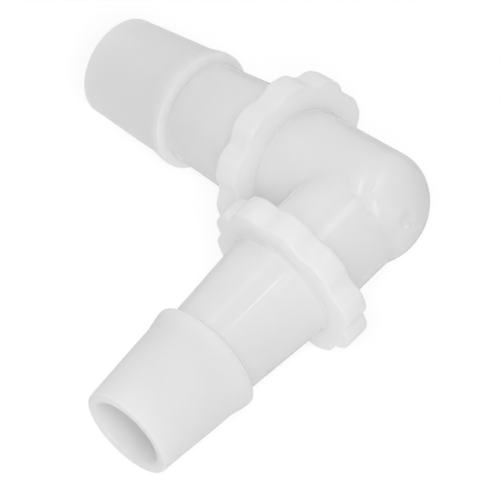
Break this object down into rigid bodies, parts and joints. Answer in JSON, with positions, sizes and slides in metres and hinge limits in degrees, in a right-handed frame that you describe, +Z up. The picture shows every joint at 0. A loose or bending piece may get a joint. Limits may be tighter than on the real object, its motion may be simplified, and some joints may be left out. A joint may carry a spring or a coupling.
{
  "type": "elbow hose connector",
  "caption": "Right-angle barbed elbow that joins two soft hoses, moulded in one piece, with a lobed stop flange on each arm and a domed corner.",
  "frame": {"origin": "centre of the bounding box seen from above, on the surface that the elbow lies on", "axes": "+Z up; the through arm points along +X and the side arm along +Y, both tips about 9.5 degrees down, as the elbow lies on two lobes of each flange and on both tips"},
  "size_m": [0.0508, 0.0508, 0.0206],
  "materials": {
    "polypropylene": "natural translucent white polypropylene, smooth moulded surface with a satin shine"
  },
  "bodies": {
    "root": {"elbow_connector": "polypropylene"}
  },
  "joints": []
}
